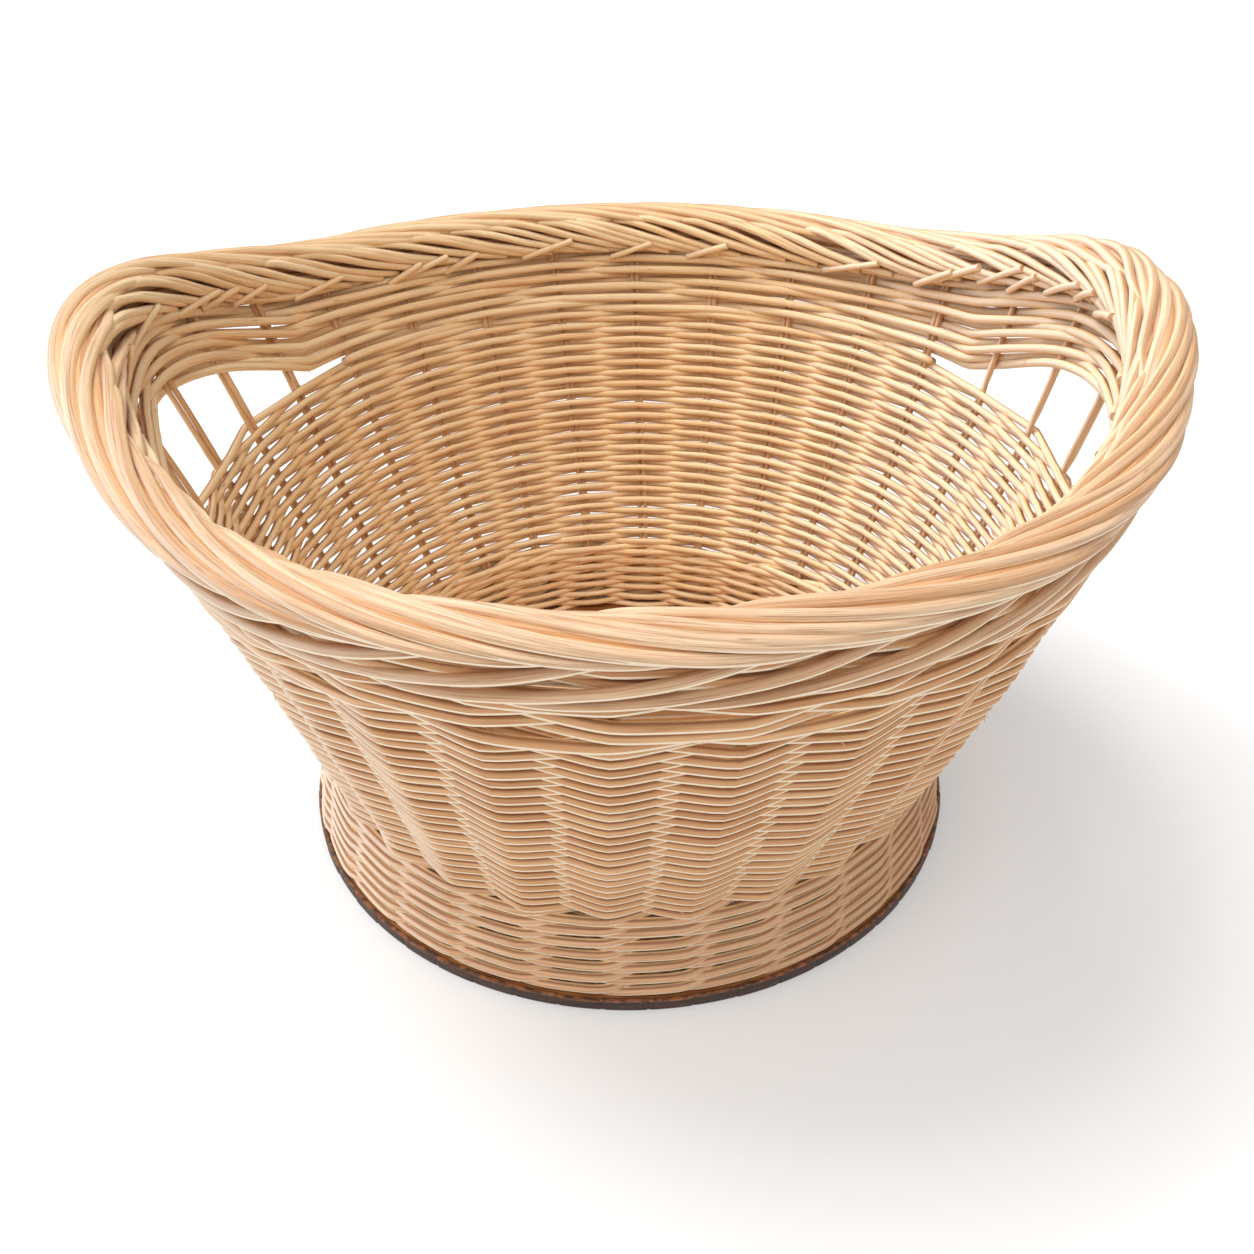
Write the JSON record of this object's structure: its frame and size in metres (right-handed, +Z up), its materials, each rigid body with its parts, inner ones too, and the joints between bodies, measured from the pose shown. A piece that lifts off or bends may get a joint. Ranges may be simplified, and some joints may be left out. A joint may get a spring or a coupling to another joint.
{
  "type": "woven basket",
  "caption": "Round woven rod basket on a banded board, with a straight foot, a flared wall and a rolled rim that rises into two ears over open hand grips.",
  "frame": {"origin": "centre of the underside, on the surface the basket stands on", "axes": "+Z up, +X to the right-hand grip, -Y to the front, as seen in its usual view"},
  "size_m": [0.4616, 0.4526, 0.2694],
  "materials": {
    "board": "satin",
    "edge_band": "matte",
    "stakes": "satin",
    "weave": "satin",
    "border": "satin"
  },
  "bodies": {
    "root": {"base_board": "board", "edge_band": "edge_band", "foot_wale": "weave", "lower_siding": "weave", "upper_siding": "weave", "shoulder_wale": "border", "inner_plait": "border", "border": "border", "stake_pair_01": "stakes", "stake_pair_02": "stakes", "stake_pair_03": "stakes", "stake_pair_04": "stakes", "stake_pair_05": "stakes", "stake_pair_06": "stakes", "stake_pair_07": "stakes", "stake_pair_08": "stakes", "stake_pair_09": "stakes", "stake_pair_10": "stakes", "stake_pair_11": "stakes", "stake_pair_12": "stakes", "stake_pair_13": "stakes", "stake_pair_14": "stakes", "stake_pair_15": "stakes", "stake_pair_16": "stakes", "stake_pair_17": "stakes", "stake_pair_18": "stakes", "stake_pair_19": "stakes", "stake_pair_20": "stakes", "stake_pair_21": "stakes", "stake_pair_22": "stakes", "stake_pair_23": "stakes", "stake_pair_24": "stakes", "stake_pair_25": "stakes", "stake_pair_26": "stakes", "stake_pair_27": "stakes", "stake_pair_28": "stakes"}
  },
  "joints": []
}
